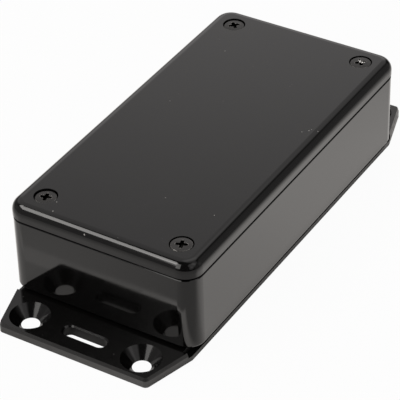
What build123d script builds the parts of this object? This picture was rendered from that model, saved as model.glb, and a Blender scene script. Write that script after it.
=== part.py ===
"""Flanged plastic project box: a lid screwed down on a case that stands on a flanged base plate.

The origin is at the centre of the base plate's underside. X runs across the box, Y along it
and Z up, and the front end is the one towards -Y. All sizes are in millimetres.
"""
import os

from build123d import *

os.makedirs("parts", exist_ok=True)

# Outside of the closed box
box_width = 50.0
box_length = 98.0
box_height = 26.7
box_corner_radius = 4.5
cut_overrun = 1.0

# Lid
lid_height = 4.0
lid_edge_radius = 2.6
lid_plate_thickness = 2.1
lid_lip_wall = 1.2
lid_lip_depth = 1.8
lid_lip_clearance = 0.2
lid_seam_chamfer = 0.15
lid_seam_reveal = 0.5
lid_overhang_side = 0.08
lid_overhang_end = 0.24
lid_pad_spread = 0.7

# Case
case_lift = 3.25
case_wall = 2.0
case_floor = 2.0
case_foot_setback = 0.12
case_foot_rise = 0.3
case_core_draft = 0.5
case_web_thickness = 1.4
case_web_drop = 0.6
case_floor_chamfer = 0.8

# Grooved ribs that hold an upright circuit board
guide_rib_width = 1.2
guide_rib_depth = 1.3
guide_slot = 1.8
guide_top_drop = 1.2
guide_rows = 3

# Standoffs on the floor for a flat circuit board
standoff_radius = 2.6
standoff_height = 4.0
standoff_bore_radius = 1.1
standoff_setback_x = 6.1
standoff_setback_y = 11.1

# Lid and base screws
screw_inset = 6.9
screw_head_radius = 2.72
screw_head_height = 1.9
screw_head_chamfer = 0.25
screw_shank_radius = 1.45
screw_cross_span = 2.8
screw_cross_slot = 0.85
screw_cross_depth = 1.25
screw_cross_taper = 8.0
lid_screw_length = 9.5
base_screw_length = 8.0
lid_screw_sink = 0.25
base_screw_sink = 0.3
screw_pocket_clearance = 0.13
screw_shank_clearance = 0.25
lid_screw_turns = {"front_left": 15.0, "front_right": 21.0, "rear_right": 38.0, "rear_left": 47.0}
base_screw_turns = {"front_left": 33.0, "front_right": 5.0, "rear_right": 71.0, "rear_left": 24.0}

# Flanged base plate
flange_thickness = 2.65
flange_side_inset = 1.2
flange_end_taper = 3.9
flange_root_inset = 0.9
flange_reach = 12.4
flange_corner_radius = 1.2
flange_edge_setback = 0.3
flange_edge_drop = 0.9
flange_ledge_height = 1.2
flange_ledge_depth = 1.7
flange_ledge_runout = 1.2
plinth_end_inset = 2.2
plinth_corner_radius = 3.0

# Fixing holes and slots in the two flange ends
hole_side_inset = 4.8
hole_end_inset = 5.7
hole_radius = 2.2
countersink_radius = 4.8
countersink_angle = 90.0
slot_length = 11.4
slot_width = 3.1
slot_edge_chamfer = 0.35

# Levels and outlines that follow from the sizes above
lid_base = box_height - lid_height
case_rim = lid_base - lid_seam_reveal
case_height = case_rim - case_lift
floor_top = case_lift + case_floor
case_width = box_width - 2 * lid_overhang_side
case_length = box_length - 2 * lid_overhang_end
case_radius = box_corner_radius - lid_overhang_end
mouth_width = case_width - 2 * case_wall
mouth_length = case_length - 2 * case_wall
mouth_radius = case_radius - case_wall
lip_width = mouth_width - 2 * lid_lip_clearance
lip_length = mouth_length - 2 * lid_lip_clearance
lip_radius = mouth_radius - lid_lip_clearance
hollow_width = lip_width - 2 * lid_lip_wall
hollow_length = lip_length - 2 * lid_lip_wall
hollow_radius = lip_radius - lid_lip_wall
screw_spacing_x = box_width - 2 * screw_inset
screw_spacing_y = box_length - 2 * screw_inset
post_radius = (hollow_width - screw_spacing_x) / 2 - lid_lip_clearance
pad_radius = post_radius + lid_pad_spread
pocket_radius = screw_head_radius + screw_pocket_clearance
shank_hole_radius = screw_shank_radius + screw_shank_clearance
lid_screw_seat = box_height - lid_screw_sink - screw_head_height
base_screw_seat = base_screw_sink + screw_head_height
cavity_depth = case_rim - floor_top
web_reach = screw_inset - lid_overhang_end - case_wall / 2
web_top = case_rim - lid_lip_depth - case_web_drop
guide_root = case_wall / 2
guide_pitch = screw_spacing_y / (guide_rows + 1)
standoff_spacing_x = screw_spacing_x - 2 * standoff_setback_x
standoff_spacing_y = screw_spacing_y - 2 * standoff_setback_y
flange_width = box_width - 2 * flange_side_inset
flange_end_width = flange_width - 2 * flange_end_taper
flange_root_y = box_length / 2 - flange_root_inset
flange_end_y = box_length / 2 + flange_reach
hole_spacing_x = flange_end_width - 2 * hole_side_inset
hole_spacing_y = 2 * (flange_end_y - hole_end_inset)
ledge_length = 2 * (flange_root_y + flange_ledge_runout)
plinth_width = flange_width - 2 * flange_ledge_depth
plinth_length = case_length - 2 * plinth_end_inset

# Corner names with the side of each axis that the corner is on
corners = {"front_left": (-1, -1), "front_right": (1, -1), "rear_right": (1, 1), "rear_left": (-1, 1)}


# Lid: rounded tray with a locating lip, screw pads and screw pockets
with BuildPart() as lid:
    with BuildSketch(Plane.XY.offset(lid_base)):
        RectangleRounded(box_width, box_length, box_corner_radius)
    extrude(amount=lid_height)
    fillet(lid.faces().sort_by(Axis.Z)[-1].edges(), radius=lid_edge_radius)
    chamfer(lid.faces().sort_by(Axis.Z)[0].edges(), length=lid_seam_chamfer)
    with BuildSketch(Plane.XY.offset(lid_base - lid_lip_depth)):
        RectangleRounded(lip_width, lip_length, lip_radius)
    extrude(amount=lid_lip_depth)
    with BuildSketch(Plane.XY.offset(lid_base - lid_lip_depth)):
        RectangleRounded(hollow_width, hollow_length, hollow_radius)
    extrude(amount=lid_lip_depth + lid_height - lid_plate_thickness, mode=Mode.SUBTRACT)
    with BuildSketch(Plane.XY.offset(lid_base)):
        with GridLocations(screw_spacing_x, screw_spacing_y, 2, 2):
            Circle(pad_radius)
    extrude(amount=lid_height - lid_plate_thickness)
    with BuildSketch(Plane.XY.offset(lid_screw_seat)):
        with GridLocations(screw_spacing_x, screw_spacing_y, 2, 2):
            Circle(pocket_radius)
    extrude(amount=box_height - lid_screw_seat + cut_overrun, mode=Mode.SUBTRACT)
    with BuildSketch(Plane.XY.offset(lid_base - cut_overrun)):
        with GridLocations(screw_spacing_x, screw_spacing_y, 2, 2):
            Circle(shank_hole_radius)
    extrude(amount=lid_screw_seat - lid_base + 2 * cut_overrun, mode=Mode.SUBTRACT)
lid.part.label = "lid"
export_step(lid.part, "parts/lid.step")


# Case: open tub with webbed corner posts, board guides and standoffs
with BuildPart() as case_body:
    with BuildSketch(Plane.XY.offset(case_lift)):
        RectangleRounded(case_width, case_length, case_radius)
    extrude(amount=case_height)
    case_foot = case_body.faces().sort_by(Axis.Z)[0]
    chamfer(case_foot.edges(), length=case_foot_setback, length2=case_foot_rise, reference=case_foot)
    chamfer(case_body.faces().sort_by(Axis.Z)[-1].edges(), length=lid_seam_chamfer)
    with BuildSketch(Plane.XY.offset(case_rim)):
        RectangleRounded(mouth_width, mouth_length, mouth_radius)
    extrude(amount=-cavity_depth, taper=case_core_draft, mode=Mode.SUBTRACT)
    inner_floor = case_body.faces().filter_by(Plane.XY).group_by(Axis.Z)[1]
    chamfer(inner_floor.edges(), length=case_floor_chamfer)

    # Corner posts, the webs that tie them to both walls, and a bore right through for both screws
    with BuildSketch(Plane.XY.offset(floor_top)):
        with GridLocations(screw_spacing_x, screw_spacing_y, 2, 2):
            Circle(post_radius)
    extrude(amount=lid_base - floor_top)
    with BuildSketch(Plane.XY.offset(floor_top)):
        for side_x, side_y in corners.values():
            with Locations((side_x * (screw_spacing_x + web_reach) / 2, side_y * screw_spacing_y / 2)):
                Rectangle(web_reach, case_web_thickness)
            with Locations((side_x * screw_spacing_x / 2, side_y * (screw_spacing_y + web_reach) / 2)):
                Rectangle(case_web_thickness, web_reach)
    extrude(amount=web_top - floor_top)
    with BuildSketch(Plane.XY.offset(case_lift)):
        with GridLocations(screw_spacing_x, screw_spacing_y, 2, 2):
            Circle(shank_hole_radius)
    extrude(amount=lid_base - case_lift, mode=Mode.SUBTRACT)

    # Pairs of ribs down both long walls, each pair a slot for the edge of a board
    with BuildSketch(Plane.XY.offset(floor_top)):
        with GridLocations(mouth_width + guide_root - guide_rib_depth, guide_pitch, 2, guide_rows):
            with GridLocations(0, guide_slot + guide_rib_width, 1, 2):
                Rectangle(guide_rib_depth + guide_root, guide_rib_width)
    extrude(amount=case_rim - lid_lip_depth - guide_top_drop - floor_top)

    # Bored standoffs on the floor
    with BuildSketch(Plane.XY.offset(floor_top)):
        with GridLocations(standoff_spacing_x, standoff_spacing_y, 2, 2):
            Circle(standoff_radius)
            Circle(standoff_bore_radius, mode=Mode.SUBTRACT)
    extrude(amount=standoff_height)
case_body.part.label = "case_body"
export_step(case_body.part, "parts/case_body.step")


# Base plate: two pierced ends, a ledge down each long side and a plinth that carries the case
with BuildPart() as flange_base:
    with BuildSketch() as flange_outline:
        with BuildLine():
            Polyline(
                (flange_end_width / 2, flange_end_y),
                (flange_width / 2, flange_root_y),
                (flange_width / 2, -flange_root_y),
                (flange_end_width / 2, -flange_end_y),
                (-flange_end_width / 2, -flange_end_y),
                (-flange_width / 2, -flange_root_y),
                (-flange_width / 2, flange_root_y),
                (-flange_end_width / 2, flange_end_y),
                close=True,
            )
        make_face()
        end_rows = flange_outline.vertices().group_by(Axis.Y)
        fillet(end_rows[0] + end_rows[-1], radius=flange_corner_radius)
    extrude(amount=flange_thickness)
    plate_top = flange_base.faces().sort_by(Axis.Z)[-1]
    chamfer(plate_top.edges(), length=flange_edge_setback, length2=flange_edge_drop, reference=plate_top)
    with BuildSketch(Plane.XY.offset(flange_ledge_height)):
        with GridLocations(flange_width, 0, 2, 1):
            Rectangle(2 * flange_ledge_depth, ledge_length)
    extrude(amount=flange_thickness - flange_ledge_height + cut_overrun, mode=Mode.SUBTRACT)
    with BuildSketch(Plane.XY.offset(flange_thickness)):
        RectangleRounded(plinth_width, plinth_length, plinth_corner_radius)
    extrude(amount=case_lift - flange_thickness)
    with Locations((0, 0, flange_thickness)):
        with GridLocations(hole_spacing_x, hole_spacing_y, 2, 2):
            CounterSinkHole(hole_radius, countersink_radius, counter_sink_angle=countersink_angle)
    with BuildSketch(Plane.XY.offset(-cut_overrun)):
        with GridLocations(0, hole_spacing_y, 1, 2):
            SlotOverall(slot_length, slot_width)
    extrude(amount=flange_thickness + 2 * cut_overrun, mode=Mode.SUBTRACT)
    chamfer(flange_base.edges(Select.LAST).group_by(Axis.Z)[-1], length=slot_edge_chamfer)
    with BuildSketch(Plane.XY.offset(-cut_overrun)):
        with GridLocations(screw_spacing_x, screw_spacing_y, 2, 2):
            Circle(pocket_radius)
    extrude(amount=base_screw_seat + cut_overrun, mode=Mode.SUBTRACT)
    with BuildSketch():
        with GridLocations(screw_spacing_x, screw_spacing_y, 2, 2):
            Circle(shank_hole_radius)
    extrude(amount=case_lift + cut_overrun, mode=Mode.SUBTRACT)
flange_base.part.label = "flange_base"
export_step(flange_base.part, "parts/flange_base.step")


def cross_head_screw(seat, length, turn):
    """Pan-head screw with a cross recess: its head stands on the plane seat, its shank goes below."""
    way = Axis(seat.origin, seat.z_dir)
    with BuildPart() as screw:
        with BuildSketch(seat):
            Circle(screw_head_radius)
        extrude(amount=screw_head_height)
        chamfer(screw.faces().sort_by(way)[-1].edges(), length=screw_head_chamfer)
        with BuildSketch(seat):
            Circle(screw_shank_radius)
        extrude(amount=-length)
        with BuildSketch(seat.offset(screw_head_height)):
            Rectangle(screw_cross_span, screw_cross_slot, rotation=turn)
            Rectangle(screw_cross_slot, screw_cross_span, rotation=turn)
        extrude(amount=-screw_cross_depth, taper=screw_cross_taper, mode=Mode.SUBTRACT)
    return screw


# One lid screw and one base screw for each corner post
for corner, (side_x, side_y) in corners.items():
    spot = (side_x * screw_spacing_x / 2, side_y * screw_spacing_y / 2)
    lid_seat = Plane(origin=(*spot, lid_screw_seat))
    base_seat = Plane(origin=(*spot, base_screw_seat), z_dir=(0, 0, -1))
    lid_screw = cross_head_screw(lid_seat, lid_screw_length, lid_screw_turns[corner])
    lid_screw.part.label = f"lid_screw_{corner}"
    export_step(lid_screw.part, f"parts/lid_screw_{corner}.step")
    base_screw = cross_head_screw(base_seat, base_screw_length, base_screw_turns[corner])
    base_screw.part.label = f"base_screw_{corner}"
    export_step(base_screw.part, f"parts/base_screw_{corner}.step")
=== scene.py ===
"""Looks of the flanged plastic project box: glossy black mouldings with dust and handling marks,
blackened cross-head screws, a pale floor and soft studio light, seen by a camera that stands
where the photograph's did.

Lengths are in metres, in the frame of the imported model.
"""
import math

import bpy
import numpy as np
from mathutils import Matrix, Vector


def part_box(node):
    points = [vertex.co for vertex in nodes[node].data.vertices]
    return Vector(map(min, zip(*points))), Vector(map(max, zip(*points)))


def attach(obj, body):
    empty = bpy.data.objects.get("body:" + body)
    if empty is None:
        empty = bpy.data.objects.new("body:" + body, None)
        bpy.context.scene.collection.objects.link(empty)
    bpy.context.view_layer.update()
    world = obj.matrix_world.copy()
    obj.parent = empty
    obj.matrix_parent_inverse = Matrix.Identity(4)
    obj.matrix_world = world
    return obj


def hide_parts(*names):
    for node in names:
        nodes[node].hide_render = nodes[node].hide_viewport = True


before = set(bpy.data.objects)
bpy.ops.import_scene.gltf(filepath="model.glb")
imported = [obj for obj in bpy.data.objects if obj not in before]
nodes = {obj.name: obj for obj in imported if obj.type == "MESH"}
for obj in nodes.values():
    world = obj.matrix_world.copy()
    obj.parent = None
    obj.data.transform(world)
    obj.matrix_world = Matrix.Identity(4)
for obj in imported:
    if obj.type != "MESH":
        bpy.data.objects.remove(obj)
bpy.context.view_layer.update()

mm = 0.001
micron = 0.001 * mm

# Camera, fitted to the photograph's edges. The photograph is 400 pixels wide and high.
photo_pixels = 400
focal_pixels = 2095.167
camera_azimuth = math.radians(32.258)
camera_elevation = math.radians(36.499)
camera_roll = math.radians(-1.718)
camera_distance = 511.966 * mm
camera_pan_right = 2.966 * mm
camera_pan_up = -3.955 * mm
sensor_width = 36.0

# Plastic: its colour and the dust's, what the marks add to its roughness, and heights in microns
plastic_ior = 1.6
body_black = (0.0038, 0.0036, 0.0035, 1.0)
dust_grey = (0.42, 0.41, 0.39, 1.0)
scratch_roughness = 0.18
dust_roughness = 0.75
dust_height = 20.0
scratch_depth = 0.5

# Steel of the screws
oxide_dark = (0.064, 0.063, 0.062, 1.0)
oxide_light = (0.094, 0.092, 0.09, 1.0)
# painted shade: near-black laid into the cross recess and on the head's side, where shade falls
painted_shade_black = (0.012, 0.012, 0.011, 1.0)
rubbed_steel = (0.62, 0.6, 0.56, 1.0)
screw_dust = (0.4, 0.39, 0.37, 1.0)
screw_dust_roughness = 0.8

# Screws: the way each recess is turned, in degrees, and how far each crown rises above the level
# of the CAD head's top
recess_turns = {
    "lid_screw_front_left": 15.0, "lid_screw_front_right": 21.0,
    "lid_screw_rear_right": 38.0, "lid_screw_rear_left": 47.0,
    "base_screw_front_left": 33.0, "base_screw_front_right": 5.0,
    "base_screw_rear_right": 71.0, "base_screw_rear_left": 24.0,
}
crown_rises = {
    "lid_screw_front_right": 0.2 * mm, "lid_screw_rear_right": 0.16 * mm,
    "lid_screw_rear_left": 0.06 * mm,
}
screw_steps = 120
screw_head_height = 1.9 * mm
screw_shank_radius = 1.45 * mm
head_edge_radius = 0.36 * mm
head_crown = 0.08 * mm
recess_half_span = 1.42 * mm
recess_half_slot = 0.44 * mm
recess_depth = 1.2 * mm
recess_floor_share = 0.86
burr_height = 0.05 * mm
thread_pitch = 1.06 * mm
thread_depth = 0.32 * mm
thread_rows_per_turn = 10
tip_taper = 1.5 * mm

# Chips of metal left in the rear right recess: place in millimetres and half size
recess_chips = [(17.5, 42.85, 26.14, 0.56), (18.3, 42.6, 26.3, 0.34), (18.9, 42.75, 26.4, 0.26)]
chip_steps = 14
chip_rows = 9
chip_flatness = 0.7
chip_dull = (0.6, 0.59, 0.57, 1.0)
chip_bright = (0.9, 0.89, 0.87, 1.0)

# Specks of lint on the lid, seen in the photograph: place in millimetres and half size
lint_spots = [
    (-13.4, -46.1, 26.7, 0.2), (-14.6, -42.8, 26.7, 0.19), (19.0, -29.6, 26.7, 0.15),
    (6.0, -29.4, 26.7, 0.15), (20.2, 8.5, 26.7, 0.16), (21.4, 9.8, 26.7, 0.18),
    (21.7, 10.5, 26.7, 0.14), (23.3, 10.7, 26.54, 0.15), (-13.7, 30.2, 26.7, 0.14),
    (-13.9, 4.5, 26.7, 0.13), (-3.3, -48.6, 25.49, 0.22),
]

# Floor. Its glow is full white to the camera. In reflections it has the painted levels below, a
# painted reflection of darker and brighter floor with a warm tint: each ramp is (from, to, level at
# from, level at to), and each edge is (where it starts, where it ends).
floor_drop = 0.05 * mm
floor_half = 3.0
paper_colour = (0.85, 0.85, 0.85, 1.0)
white = (1.0, 1.0, 1.0, 1.0)
# painted reflection tint: warm colour of the floor's glow, seen only in reflections
painted_reflection_tint = (1.0, 0.962, 0.925, 1.0)
glow_share = 0.96
lamplit_share = 0.4
front_ramp = (-30 * mm, 30 * mm, 0.46, 0.22)
foot_ramp = (-20 * mm, 16 * mm, 0.66, 1.0)
side_ramp = (-30 * mm, 20 * mm, 0.86, 1.0)
far_level = 0.12
side_edge = (-52 * mm, -37 * mm)
foot_front_edge = (-66 * mm, -64.5 * mm)
foot_right_edge = (25.5 * mm, 30 * mm)
flange_front_edge = (-61.2 * mm, -60 * mm)
flange_right_edge = (18.5 * mm, 19.9 * mm)
fade_start = 45 * mm
fade_length = 65 * mm
shade_reach = 5.0 * mm

# Soft lit parts of the room: azimuth, elevation, half angle of the full glow, half angle where it
# ends, strength
room_glows = [
    (-145, 45, 29, 44, 0.47),
    (-152, 12, 14, 28, 0.42),
    (170, 68, 14, 26, 0.38),
    (80, 46, 12, 24, 0.46),
    (66, 24, 6, 16, 0.35),
    (140, 15, 15, 32, 0.17),
    (108, 50, 8, 18, 0.34),
    (105, 15, 12, 30, 0.12),
    (-45, 18, 22, 42, 0.18),
    (-98, 10, 12, 32, 0.12),
]
room_level = 0.03
room_tint = (1.0, 0.972, 0.965, 1.0)
lamp_tint = (1.0, 0.975, 0.95)

scene = bpy.context.scene


def camera_axes():
    """Right, up and back directions of the camera: back comes from azimuth and elevation, and right
    and up are turned about it by the roll."""
    back = np.array([
        math.sin(camera_azimuth) * math.cos(camera_elevation),
        -math.cos(camera_azimuth) * math.cos(camera_elevation),
        math.sin(camera_elevation),
    ])
    level_right = np.cross(-back, [0.0, 0.0, 1.0])
    level_right /= np.linalg.norm(level_right)
    level_up = np.cross(back, level_right)
    right = math.cos(camera_roll) * level_right + math.sin(camera_roll) * level_up
    up = -math.sin(camera_roll) * level_right + math.cos(camera_roll) * level_up
    return right, up, back


def add_camera():
    """The camera stands back from the origin and is shifted bodily across its own view."""
    right, up, back = camera_axes()
    eye = back * camera_distance - camera_pan_right * right - camera_pan_up * up
    data = bpy.data.cameras.new("photo_camera")
    data.sensor_width = sensor_width
    data.lens = sensor_width * focal_pixels / photo_pixels
    data.clip_start = 0.01
    data.clip_end = 20.0
    camera = bpy.data.objects.new("photo_camera", data)
    scene.collection.objects.link(camera)
    rows = [[right[i], up[i], back[i], eye[i]] for i in range(3)]
    camera.matrix_world = Matrix(rows + [[0.0, 0.0, 0.0, 1.0]])
    scene.camera = camera


add_camera()


# Shader building

def add_node(tree, kind, settings=None, values=None):
    """A shader node with its settings, and values or links for its inputs by name or number."""
    made = tree.nodes.new(kind)
    for key, value in (settings or {}).items():
        setattr(made, key, value)
    for key, value in (values or {}).items():
        if isinstance(value, bpy.types.NodeSocket):
            tree.links.new(value, made.inputs[key])
        else:
            made.inputs[key].default_value = value
    return made


def math_node(tree, operation, first, second=0.0, clamp=False):
    """Output of a Math node with two operands, each a number or a link."""
    made = add_node(tree, "ShaderNodeMath", {"operation": operation, "use_clamp": clamp},
                    {0: first, 1: second})
    return made.outputs[0]


def ramp_between(tree, value, low, high, to_low=0.0, to_high=1.0, steps="SMOOTHSTEP"):
    """A step, smooth unless told otherwise, of a value from one level at low to another at high."""
    made = add_node(tree, "ShaderNodeMapRange", {"interpolation_type": steps},
                    {"Value": value, "From Min": low, "From Max": high,
                     "To Min": to_low, "To Max": to_high})
    return made.outputs["Result"]


def mix_colour(tree, mask, first, second):
    """Two colours, each given or linked, mixed by a mask."""
    made = add_node(tree, "ShaderNodeMix", {"data_type": "RGBA"}, {0: mask, 6: first, 7: second})
    return made.outputs[2]


def mix_level(tree, mask, first, second):
    """Two numbers, each given or linked, mixed by a mask."""
    made = add_node(tree, "ShaderNodeMix", {"data_type": "FLOAT"}, {0: mask, 2: first, 3: second})
    return made.outputs[0]


def noise(tree, place, scale, detail, roughness=0.5):
    """Height of a smooth noise."""
    made = add_node(tree, "ShaderNodeTexNoise", None,
                    {"Vector": place, "Scale": scale, "Detail": detail, "Roughness": roughness})
    return made.outputs["Fac"]


def upward_part(tree):
    """The Z part of the surface's normal."""
    normal = add_node(tree, "ShaderNodeNewGeometry").outputs["Normal"]
    return add_node(tree, "ShaderNodeSeparateXYZ", None, {0: normal}).outputs["Z"]


def mesh_value(tree, label):
    """A number that the mesh carries at each point."""
    made = add_node(tree, "ShaderNodeAttribute",
                    {"attribute_type": "GEOMETRY", "attribute_name": label})
    return made.outputs["Fac"]


def bumped(tree, height, distance, strength=1.0):
    """Normal of a surface raised by a height."""
    made = add_node(tree, "ShaderNodeBump", None,
                    {"Height": height, "Strength": strength, "Distance": distance})
    return made.outputs["Normal"]


def new_group(name, inputs, outputs):
    """An empty shader node group. Inputs are (name, kind, default) and outputs (name, kind)."""
    tree = bpy.data.node_groups.new(name, "ShaderNodeTree")
    for label, kind, default in inputs:
        socket = tree.interface.new_socket(name=label, in_out="INPUT", socket_type=kind)
        if default is not None:
            socket.default_value = default
    for label, kind in outputs:
        tree.interface.new_socket(name=label, in_out="OUTPUT", socket_type=kind)
    return tree, tree.nodes.new("NodeGroupInput"), tree.nodes.new("NodeGroupOutput")


def use_group(tree, group, values):
    """The output of a group placed in a material with its own values."""
    return add_node(tree, "ShaderNodeGroup", {"node_tree": group}, values).outputs[0]


def moulded_skin_group():
    """Height of a moulded gloss face: long shallow waves of shrinkage plus a fine orange peel."""
    tree, given, out = new_group(
        "moulded_skin",
        [("Position", "NodeSocketVector", None), ("Wave height", "NodeSocketFloat", 1.0),
         ("Peel height", "NodeSocketFloat", 1.0)],
        [("Height", "NodeSocketFloat")])
    place = given.outputs["Position"]
    waves = math_node(tree, "MULTIPLY", noise(tree, place, 75.0, 1.0, 0.4),
                      given.outputs["Wave height"])
    peels = math_node(tree, "MULTIPLY", noise(tree, place, 850.0, 2.0),
                      given.outputs["Peel height"])
    tree.links.new(math_node(tree, "ADD", waves, peels), out.inputs["Height"])
    return tree


def hairlines_group():
    """Mask of fine scratches: narrow bands where two stretched and turned noises cross their
    middle, each shown only in patches."""
    tree, given, out = new_group(
        "hairlines",
        [("Position", "NodeSocketVector", None), ("Amount", "NodeSocketFloat", 1.0)],
        [("Mask", "NodeSocketFloat")])
    place = given.outputs["Position"]
    masks = []
    for turn, stretch, patch_scale in ((0.45, (40.0, 1400.0, 600.0), 148.0),
                                       (-1.1, (55.0, 1700.0, 600.0), 86.0)):
        placed = add_node(tree, "ShaderNodeMapping", None,
                          {"Vector": place, "Rotation": (0.0, 0.0, turn), "Scale": stretch})
        streak = noise(tree, placed.outputs["Vector"], 1.0, 1.0)
        off = math_node(tree, "ABSOLUTE", math_node(tree, "SUBTRACT", streak, 0.5))
        line = ramp_between(tree, off, 0.0, 0.006, 1.0, 0.0)
        shown = ramp_between(tree, noise(tree, place, patch_scale, 1.0), 0.56, 0.66)
        masks.append(math_node(tree, "MULTIPLY", line, shown))
    both = math_node(tree, "MAXIMUM", masks[0], masks[1])
    tree.links.new(math_node(tree, "MULTIPLY", both, given.outputs["Amount"]), out.inputs["Mask"])
    return tree


def settled_dust_group():
    """Mask of fine dust on faces that look up: specks at the middles of scattered cells, shown in
    loose drifts."""
    tree, given, out = new_group(
        "settled_dust",
        [("Position", "NodeSocketVector", None), ("Amount", "NodeSocketFloat", 1.0)],
        [("Mask", "NodeSocketFloat")])
    place = given.outputs["Position"]
    cells = add_node(tree, "ShaderNodeTexVoronoi", {"feature": "F1"},
                     {"Vector": place, "Scale": 520.0, "Randomness": 1.0})
    grain = ramp_between(tree, cells.outputs["Distance"], 0.03, 0.07, 1.0, 0.0)
    drifts = ramp_between(tree, noise(tree, place, 160.0, 3.0, 0.6), 0.54, 0.72)
    upward = ramp_between(tree, upward_part(tree), 0.3, 0.9)
    mask = math_node(tree, "MULTIPLY", math_node(tree, "MULTIPLY", grain, drifts), upward)
    tree.links.new(math_node(tree, "MULTIPLY", mask, given.outputs["Amount"]), out.inputs["Mask"])
    return tree


def smudges_group():
    """Cloudy change of gloss from handling: two noises of unlike size, between 0 and 1."""
    tree, given, out = new_group(
        "smudges", [("Position", "NodeSocketVector", None)], [("Cloud", "NodeSocketFloat")])
    place = given.outputs["Position"]
    fine = math_node(tree, "ADD", noise(tree, place, 420.0, 4.0, 0.6), 0.5)
    cloud = math_node(tree, "MULTIPLY", noise(tree, place, 60.0, 3.0, 0.55), fine)
    tree.links.new(ramp_between(tree, cloud, 0.3, 0.75), out.inputs["Cloud"])
    return tree


moulded_skin = moulded_skin_group()
hairlines = hairlines_group()
settled_dust = settled_dust_group()
smudges = smudges_group()


def new_material(name):
    """A node material that holds one Principled shader, and the object's own coordinates."""
    material = bpy.data.materials.new(name)
    material.use_nodes = True
    tree = material.node_tree
    tree.nodes.clear()
    output = tree.nodes.new("ShaderNodeOutputMaterial")
    shader = tree.nodes.new("ShaderNodeBsdfPrincipled")
    tree.links.new(shader.outputs["BSDF"], output.inputs["Surface"])
    place = tree.nodes.new("ShaderNodeTexCoord").outputs["Object"]
    return material, tree, shader, place


def lint_mask(tree, place):
    """Mask of the seen specks: 1 inside each small blob, its distance bent by a noise so that no
    speck is round."""
    bend = math_node(tree, "ADD", noise(tree, place, 4500.0, 1.0), 0.5)
    mask = None
    for x, y, z, half in lint_spots:
        reach = add_node(tree, "ShaderNodeVectorMath", {"operation": "DISTANCE"},
                         {0: place, 1: (x * mm, y * mm, z * mm)})
        bent = math_node(tree, "MULTIPLY", reach.outputs["Value"], bend)
        blob = ramp_between(tree, bent, 0.55 * half * mm, half * mm, 1.0, 0.0)
        mask = blob if mask is None else math_node(tree, "MAXIMUM", mask, blob)
    return mask


def dull_sides(tree, place):
    """Mask of faces that stand upright or slope steeply, mottled by a noise."""
    flatness = math_node(tree, "ABSOLUTE", upward_part(tree))
    upright = ramp_between(tree, flatness, 0.4, 0.85, 1.0, 0.0)
    mottle = ramp_between(tree, noise(tree, place, 700.0, 2.0), 0.3, 0.7, 0.6, 1.0)
    return math_node(tree, "MULTIPLY", upright, mottle)


def black_moulding(name, roughness, wave, peel, marks, dust, lint=False, side_roughness=0.0):
    """Glossy black plastic: a nearly black body, a smooth skin, and the marks of its life. Its
    roughness is clouded between two values, and its upright faces can be given a duller skin."""
    material, tree, shader, place = new_material(name)
    shader.inputs["IOR"].default_value = plastic_ior
    skin = use_group(tree, moulded_skin,
                     {"Position": place, "Wave height": wave, "Peel height": peel})
    cloud = use_group(tree, smudges, {"Position": place})
    lines = use_group(tree, hairlines, {"Position": place, "Amount": marks})
    grains = use_group(tree, settled_dust, {"Position": place, "Amount": dust})
    if lint:
        grains = math_node(tree, "MAXIMUM", grains, lint_mask(tree, place))

    rough = ramp_between(tree, cloud, 0.0, 1.0, *roughness, steps="LINEAR")
    rough = math_node(tree, "ADD", rough, math_node(tree, "MULTIPLY", lines, scratch_roughness))
    if side_roughness:
        sides = math_node(tree, "MULTIPLY", dull_sides(tree, place), side_roughness)
        rough = math_node(tree, "ADD", rough, sides)
    dusty = math_node(tree, "MULTIPLY", grains, dust_roughness)
    tree.links.new(math_node(tree, "MAXIMUM", rough, dusty, clamp=True), shader.inputs["Roughness"])
    tree.links.new(mix_colour(tree, grains, body_black, dust_grey), shader.inputs["Base Color"])

    height = math_node(tree, "ADD", skin, math_node(tree, "MULTIPLY", grains, dust_height))
    height = math_node(tree, "SUBTRACT", height, math_node(tree, "MULTIPLY", lines, scratch_depth))
    tree.links.new(bumped(tree, height, micron), shader.inputs["Normal"])
    return material


def blackened_steel():
    """Screw finish: dark oxide on steel, rubbed to brighter metal where the mesh's wear is high,
    and near-black painted shade where its recess value is: in the cross recess and on the head's
    side."""
    material, tree, shader, place = new_material("blackened_steel")
    shader.inputs["Metallic"].default_value = 1.0
    speckle = noise(tree, place, 2600.0, 3.0, 0.6)
    cloud = use_group(tree, smudges, {"Position": place})
    grains = use_group(tree, settled_dust, {"Position": place, "Amount": 0.7})
    rubbed = math_node(tree, "MULTIPLY", mesh_value(tree, "wear"),
                       ramp_between(tree, speckle, 0.35, 0.6))
    colour = mix_colour(tree, cloud, oxide_dark, oxide_light)
    # painted shade: the recess value lays near-black into the cross recess and on the head's side
    colour = mix_colour(tree, mesh_value(tree, "recess"), colour, painted_shade_black)
    colour = mix_colour(tree, rubbed, colour, rubbed_steel)
    colour = mix_colour(tree, grains, colour, screw_dust)
    tree.links.new(colour, shader.inputs["Base Color"])
    gloss = ramp_between(tree, speckle, 0.0, 1.0, 0.2, 0.38, steps="LINEAR")
    dusty = math_node(tree, "MULTIPLY", grains, screw_dust_roughness)
    tree.links.new(math_node(tree, "MAXIMUM", gloss, dusty), shader.inputs["Roughness"])
    tree.links.new(bumped(tree, speckle, 6 * micron), shader.inputs["Normal"])
    return material


def bright_steel():
    """Freshly cut steel of a screw chip: bright, with a grain that bends its reflections."""
    material, tree, shader, place = new_material("bright_steel")
    shader.inputs["Metallic"].default_value = 1.0
    grain = noise(tree, place, 5200.0, 2.0)
    tree.links.new(mix_colour(tree, grain, chip_dull, chip_bright), shader.inputs["Base Color"])
    tree.links.new(ramp_between(tree, grain, 0.3, 0.7, 0.25, 0.5), shader.inputs["Roughness"])
    tree.links.new(bumped(tree, grain, 10 * micron), shader.inputs["Normal"])
    return material


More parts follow.
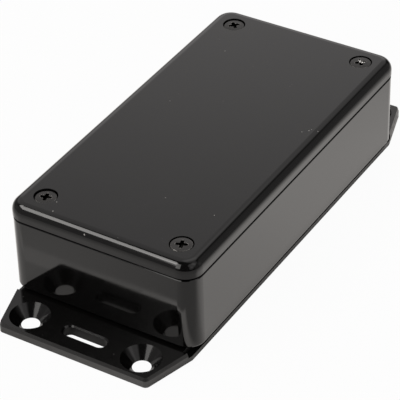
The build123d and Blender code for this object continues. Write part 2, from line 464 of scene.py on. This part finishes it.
lid_plastic = black_moulding(
    "lid_plastic", roughness=(0.05, 0.11), wave=1.1, peel=0.5, marks=1.0, dust=0.5, lint=True)
case_plastic = black_moulding(
    "case_plastic", roughness=(0.05, 0.1), wave=1.2, peel=0.4, marks=0.5, dust=0.35)
base_plastic = black_moulding(
    "base_plastic", roughness=(0.06, 0.11), wave=0.8, peel=0.5, marks=0.7, dust=0.5,
    side_roughness=0.3)
screw_metal = blackened_steel()

finishes = {"lid": lid_plastic, "case_body": case_plastic, "flange_base": base_plastic}
for name, node in nodes.items():
    node.data.materials.clear()
    node.data.materials.append(finishes.get(name, screw_metal))


# New pieces

def grid_faces(rows, steps, first_pole, last_pole):
    """Faces of a closed grid: quads between its rows, and a fan of triangles to the pole at each
    end."""
    row, step = np.meshgrid(np.arange(rows - 1), np.arange(steps), indexing="ij")
    here, beside = row * steps + step, row * steps + (step + 1) % steps
    quads = np.stack([here, here + steps, beside + steps, beside], axis=-1).reshape(-1, 4)
    ring = np.arange(steps)
    after = (ring + 1) % steps
    last = (rows - 1) * steps
    first_fan = np.stack([np.full(steps, first_pole), ring, after], axis=-1)
    last_fan = np.stack([np.full(steps, last_pole), last + after, last + ring], axis=-1)
    return quads.tolist() + first_fan.tolist() + last_fan.tolist()


def add_smooth_mesh(name, vertices, faces, material):
    """A smooth object at the origin, with its place in its mesh."""
    mesh = bpy.data.meshes.new(name)
    mesh.from_pydata(vertices, [], faces)
    mesh.shade_smooth()
    mesh.materials.append(material)
    piece = bpy.data.objects.new(name, mesh)
    scene.collection.objects.link(piece)
    return piece


def recess_radius(angle):
    """Radius of the cross recess's rim at each angle: the larger of two crossed superellipses, each
    (|cos/a|^p + |sin/b|^p)^(-1/p), with a soft joint where they meet."""
    def slot(turned):
        along = np.abs(np.cos(turned) / recess_half_span) ** 5
        across = np.abs(np.sin(turned) / recess_half_slot) ** 5
        return (along + across) ** -0.2
    first, second = slot(angle), slot(angle + np.pi / 2)
    return (first ** 9 + second ** 9) ** (1 / 9)


def screw_surface(head_radius, length, turn, top, burr_phase):
    """Closed skin of a cross-head screw on a grid of angle by profile step, with z = 0 on top of
    the CAD head and the shank below. From the middle outwards the profile is the recess floor,
    which rises towards the arms' ends, the recess wall, its burred rim, a crown that starts at the
    given top and falls with the square of the radius, a rounded edge, the side, the underside, a
    thread whose radius is root + depth * triangle(z / pitch - angle / full turn), and a taper at
    the tip. Returns the points, their wear, their painted shade, and the level of the tip."""
    angle = np.arange(screw_steps) * 2 * np.pi / screw_steps
    rim = recess_radius(angle - math.radians(turn))
    ripple = np.sin(3 * angle + burr_phase) * np.sin(5 * angle + 2 * burr_phase)
    burr = burr_height * np.clip(ripple, 0, 1)
    radii, levels, wear, recess = [], [], [], []

    # hidden is how much painted shade darkens a row, in the recess and on the head's side
    def add_row(radius, level, worn=0.0, hidden=0.0):
        for values, value in ((radii, radius), (levels, level), (wear, worn), (recess, hidden)):
            values.append(value * np.ones(screw_steps))

    for part in np.linspace(0.02, recess_floor_share, 8):
        radius = part * rim
        hollow = 1 - 0.35 * (radius / recess_half_span) ** 1.5
        add_row(radius, top - head_crown - recess_depth * hollow, hidden=1.0)
    floor_end = levels[-1]
    for part in np.linspace(0.2, 1.0, 6):
        add_row(rim * (recess_floor_share + (1 - recess_floor_share) * part),
                floor_end * (1 - part) + part * (top - 0.04 * mm), hidden=1 - part ** 4)
    add_row(rim + 0.03 * mm, top - 0.01 * mm + burr, 0.9)
    add_row(rim + 0.09 * mm, top + 0.6 * burr, 0.5 * (burr > 0.01 * mm))
    inner = rim + 0.16 * mm
    flat = head_radius - head_edge_radius
    for part in np.linspace(0.0, 1.0, 12):
        radius = inner * (1 - part) + part * flat
        add_row(radius, top - head_crown * (radius / head_radius) ** 2)
    shoulder = top - head_crown
    for part in np.linspace(0.2, 1.0, 6):
        bend = part * np.pi / 2
        add_row(flat + head_edge_radius * np.sin(bend),
                shoulder - head_edge_radius * (1 - np.cos(bend)), 0.3 * (1 - part), part)
    under = -screw_head_height
    add_row(head_radius, 0.5 * (shoulder - head_edge_radius + under), hidden=1.0)
    add_row(head_radius, under + 0.08 * mm)
    add_row(head_radius - 0.08 * mm, under)
    add_row(screw_shank_radius + 0.1 * mm, under)
    root = screw_shank_radius - thread_depth
    add_row(root + 0.1 * mm, under - 0.12 * mm)
    tip = under - length
    thread_rows = int(round(length / thread_pitch * thread_rows_per_turn))
    for level in np.linspace(under - 0.3 * mm, tip + 0.1 * mm, thread_rows):
        phase = (level / thread_pitch - angle / (2 * np.pi)) % 1.0
        crest = np.clip(1 - np.abs(phase - 0.5) / 0.3, 0, 1)
        narrowing = np.clip((level - tip) / tip_taper, 0.0, 1.0) ** 0.6
        add_row((root + thread_depth * crest) * (0.25 + 0.75 * narrowing), level, 0.6 * crest ** 4)
    radii = np.array(radii)
    points = np.stack([radii * np.cos(angle), radii * np.sin(angle), np.array(levels)], axis=-1)
    return points, np.array(wear), np.array(recess), tip


def add_screw(name):
    """A detailed screw in the place of a CAD screw, its head where the CAD head is. Its name sets
    where its burrs are, so that no two screws are alike."""
    low, high = (np.array(corner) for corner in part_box(name))
    centre = (low + high) / 2
    head_radius = (high[0] - low[0]) / 2
    length = high[2] - low[2] - screw_head_height
    burr_phase = sum(map(ord, name)) * 0.7
    points, wear, recess, tip = screw_surface(
        head_radius, length, recess_turns[name], crown_rises.get(name, 0.0), burr_phase)
    rows, steps = points.shape[:2]
    ends = np.array([[0.0, 0.0, points[0, :, 2].mean()], [0.0, 0.0, tip]])
    vertices = np.concatenate([points.reshape(-1, 3), ends])
    in_base = name.startswith("base_screw")
    if in_base:
        vertices[:, 1:] *= -1
    vertices += [centre[0], centre[1], low[2] if in_base else high[2]]
    piece = add_smooth_mesh(name + "_detail", vertices.tolist(),
                            grid_faces(rows, steps, rows * steps, rows * steps + 1), screw_metal)
    # the recess values carry the painted shade of the cross recess and the head's side
    for label, values, middle in (("wear", wear, 0.0), ("recess", recess, 1.0)):
        layer = piece.data.attributes.new(label, "FLOAT", "POINT")
        with_ends = np.concatenate([values.ravel(), [middle, 0.0]])
        layer.data.foreach_set("value", with_ends.astype(np.float32))
    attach(piece, "case" if in_base else "lid")
    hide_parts(name)


for name in recess_turns:
    add_screw(name)


def chip_surface(centre, half, seed):
    """Lump of swarf on a grid of longitude by latitude: a sphere whose radius is bent by two sine
    waves, with its height scaled down. Returns the points, with both poles last, and the grid's
    shape."""
    around, along = np.meshgrid(np.arange(chip_steps) * 2 * np.pi / chip_steps,
                                np.linspace(0, np.pi, chip_rows)[1:-1])
    ridges = 0.25 * np.sin(3 * around + seed) * np.sin(2 * along)
    radius = half * (1 + ridges + 0.15 * np.sin(2 * around - 2 * seed))
    reach = radius * np.sin(along)
    points = np.stack([reach * np.cos(around), reach * np.sin(around),
                       chip_flatness * radius * np.cos(along)], axis=-1)
    poles = np.array([[0.0, 0.0, chip_flatness * half], [0.0, 0.0, -chip_flatness * half]])
    return np.concatenate([points.reshape(-1, 3), poles]) + np.array(centre), points.shape[:2]


def add_recess_chips():
    """All chips as one piece that lies in the rear right screw."""
    vertices, faces = [], []
    for x, y, z, half in recess_chips:
        points, (rows, steps) = chip_surface((x * mm, y * mm, z * mm), half * mm, 7 * x)
        lump = grid_faces(rows, steps, rows * steps, rows * steps + 1)
        faces += [[index + len(vertices) for index in face] for face in lump]
        vertices += points.tolist()
    piece = add_smooth_mesh("recess_chips", vertices, faces, bright_steel())
    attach(piece, "lid")


add_recess_chips()


# Studio

def painted_reflection_level(tree, place):
    """Painted reflection: level of the floor's glow in reflections, dim in front of the box, a
    painted bright strip at the very foot of the front flange, nearly white beside the box and
    behind it.
    It fades with distance, and is shaded close to the part except at that foot."""
    spot = add_node(tree, "ShaderNodeSeparateXYZ", None, {0: place})
    across, along = spot.outputs["X"], spot.outputs["Y"]
    ahead = ramp_between(tree, along, *flange_front_edge, 1.0, 0.0)
    beyond = ramp_between(tree, across, *flange_right_edge)
    clear_of_holes = math_node(tree, "MAXIMUM", ahead, beyond)
    foot = math_node(tree, "MULTIPLY", ramp_between(tree, along, *foot_front_edge),
                     ramp_between(tree, across, *foot_right_edge, 1.0, 0.0))
    foot = math_node(tree, "MULTIPLY", foot, clear_of_holes)
    front = mix_level(tree, foot, ramp_between(tree, across, *front_ramp),
                      ramp_between(tree, across, *foot_ramp))
    near = mix_level(tree, ramp_between(tree, along, *side_edge), front,
                     ramp_between(tree, along, *side_ramp))
    reach = add_node(tree, "ShaderNodeVectorMath", {"operation": "LENGTH"}, {0: place})
    away = math_node(tree, "SUBTRACT", reach.outputs["Value"], fade_start)
    away = math_node(tree, "DIVIDE", math_node(tree, "MAXIMUM", away, 0.0), fade_length)
    spread = math_node(tree, "ADD", math_node(tree, "POWER", away, 2.0), 1.0)
    kept = math_node(tree, "DIVIDE", 1.0, spread)
    level = math_node(tree, "MULTIPLY", math_node(tree, "SUBTRACT", near, far_level), kept)
    open_sky = add_node(tree, "ShaderNodeAmbientOcclusion", {"samples": 8},
                        {"Distance": shade_reach})
    # painted light: the foot strip stays bright where the occlusion would shade it
    painted_lit_foot = math_node(tree, "MULTIPLY", foot, ahead)
    shade = math_node(tree, "MAXIMUM", open_sky.outputs["AO"], painted_lit_foot)
    return math_node(tree, "MULTIPLY", math_node(tree, "ADD", level, far_level), shade)


def pale_floor():
    """Paper that glows white to the camera and in painted levels of light in reflections, where the
    lamps' light on it is added."""
    material = bpy.data.materials.new("pale_floor")
    material.use_nodes = True
    tree = material.node_tree
    tree.nodes.clear()
    output = tree.nodes.new("ShaderNodeOutputMaterial")
    place = tree.nodes.new("ShaderNodeTexCoord").outputs["Object"]
    normal = bumped(tree, noise(tree, place, 900.0, 2.0), 0.02 * mm, 0.2)
    paper = add_node(tree, "ShaderNodeBsdfDiffuse", None, {"Color": paper_colour, "Normal": normal})
    path = tree.nodes.new("ShaderNodeLightPath")
    seen, mirrored = path.outputs["Is Camera Ray"], path.outputs["Is Glossy Ray"]
    glow = add_node(tree, "ShaderNodeEmission", None,
                    {"Color": mix_colour(tree, seen, painted_reflection_tint, white),
                     "Strength": mix_level(tree, seen, painted_reflection_level(tree, place), 1.0)})
    share = math_node(tree, "MULTIPLY", math_node(tree, "MAXIMUM", seen, mirrored), glow_share)
    floor = add_node(tree, "ShaderNodeMixShader", None,
                     {0: share, 1: paper.outputs[0], 2: glow.outputs[0]})
    lamplit = add_node(tree, "ShaderNodeMixShader", None,
                       {0: math_node(tree, "MULTIPLY", mirrored, lamplit_share),
                        2: paper.outputs[0]})
    both = add_node(tree, "ShaderNodeAddShader", None, {0: floor.outputs[0], 1: lamplit.outputs[0]})
    tree.links.new(both.outputs[0], output.inputs["Surface"])
    return material


def add_floor():
    """A flat square just below the underside of the base plate."""
    square = ((-1, -1), (1, -1), (1, 1), (-1, 1))
    corners = [(x * floor_half, y * floor_half, -floor_drop) for x, y in square]
    add_smooth_mesh("floor", corners, [(0, 1, 2, 3)], pale_floor())


add_floor()


def toward(azimuth, elevation):
    """Unit vector from the object: azimuth is 0 to the front and 90 to the right."""
    a, e = math.radians(azimuth), math.radians(elevation)
    return Vector((math.sin(a) * math.cos(e), -math.cos(a) * math.cos(e), math.sin(e)))


def add_world():
    """A dim room with soft glows, each a smooth step of the cosine of the angle to its middle."""
    world = bpy.data.worlds.new("studio")
    scene.world = world
    world.use_nodes = True
    tree = world.node_tree
    tree.nodes.clear()
    output = tree.nodes.new("ShaderNodeOutputWorld")
    way = tree.nodes.new("ShaderNodeTexCoord").outputs["Generated"]
    total = room_level
    for azimuth, elevation, inner, outer, strength in room_glows:
        facing = add_node(tree, "ShaderNodeVectorMath", {"operation": "DOT_PRODUCT"},
                          {0: way, 1: toward(azimuth, elevation)})
        level = ramp_between(tree, facing.outputs["Value"], math.cos(math.radians(outer)),
                             math.cos(math.radians(inner)), 0.0, strength)
        total = math_node(tree, "ADD", level, total)
    background = add_node(tree, "ShaderNodeBackground", None,
                          {"Color": room_tint, "Strength": total})
    tree.links.new(background.outputs[0], output.inputs["Surface"])


add_world()


def add_panel(name, azimuth, elevation, distance, width, height, radiance, roll=0.0, mirrored=True):
    """An area lamp that faces the origin from a direction; its power gives the wanted radiance."""
    data = bpy.data.lights.new(name, "AREA")
    data.shape = "RECTANGLE"
    data.size = width
    data.size_y = height
    data.energy = radiance * math.pi * width * height
    data.color = lamp_tint
    lamp = bpy.data.objects.new(name, data)
    scene.collection.objects.link(lamp)
    out = toward(azimuth, elevation)
    lamp.location = out * distance
    lamp.rotation_mode = "QUATERNION"
    level = out.to_track_quat("Z", "Y").to_matrix()
    lamp.rotation_quaternion = (level @ Matrix.Rotation(math.radians(roll), 3, "Z")).to_quaternion()
    lamp.visible_glossy = mirrored


add_panel("key", azimuth=-57.5, elevation=51.8, distance=1.2, width=0.73, height=0.355,
          radiance=4.1)
add_panel("front_strip", azimuth=-16, elevation=38, distance=1.2, width=0.48, height=0.88,
          radiance=1.7, roll=16.0)
add_panel("overhead_fill", azimuth=60, elevation=80, distance=2.0, width=2.2, height=2.2,
          radiance=0.45, mirrored=False)

scene.view_settings.view_transform = "Standard"
